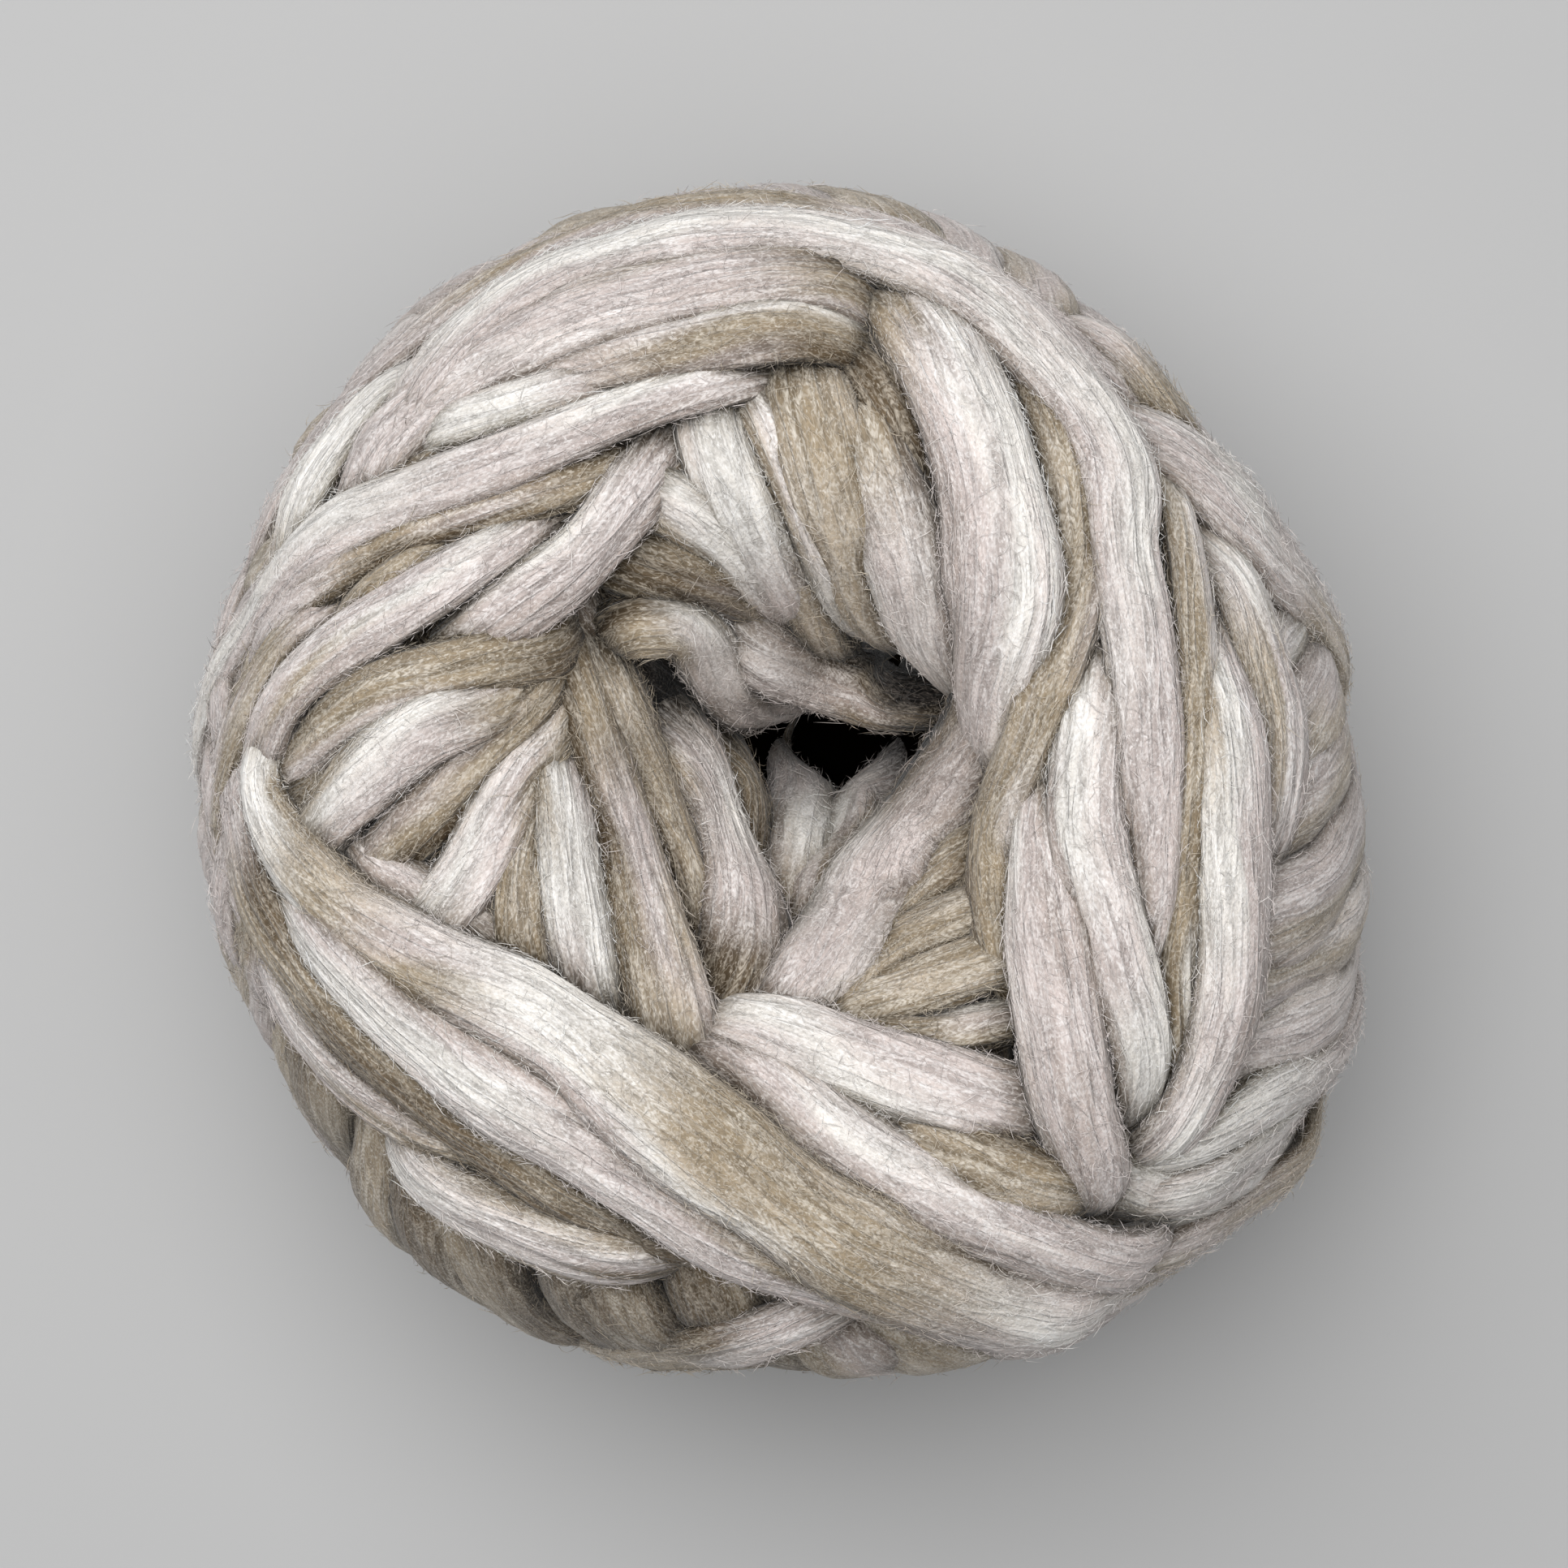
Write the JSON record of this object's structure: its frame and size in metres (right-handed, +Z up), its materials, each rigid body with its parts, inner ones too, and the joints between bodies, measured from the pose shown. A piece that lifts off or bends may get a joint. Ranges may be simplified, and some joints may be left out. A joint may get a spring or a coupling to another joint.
{
  "type": "chunky yarn ball",
  "caption": "Centre-pull ball of thick soft roving yarn, with wide flat turns crossing in a pinwheel round an open funnel-shaped well, resting on a small flat spot.",
  "frame": {"origin": "centre of the ball's outline seen from above, on the ground under its flat spot", "axes": "+Z up out of the open well, +X and +Y right and up in the picture, which looks straight down"},
  "size_m": [0.1316, 0.1346, 0.0996],
  "materials": {
    "yarn": "soft matte brushed roving, white, lilac-grey and taupe side by side"
  },
  "bodies": {
    "root": {"wound_yarn": "yarn"}
  },
  "joints": []
}
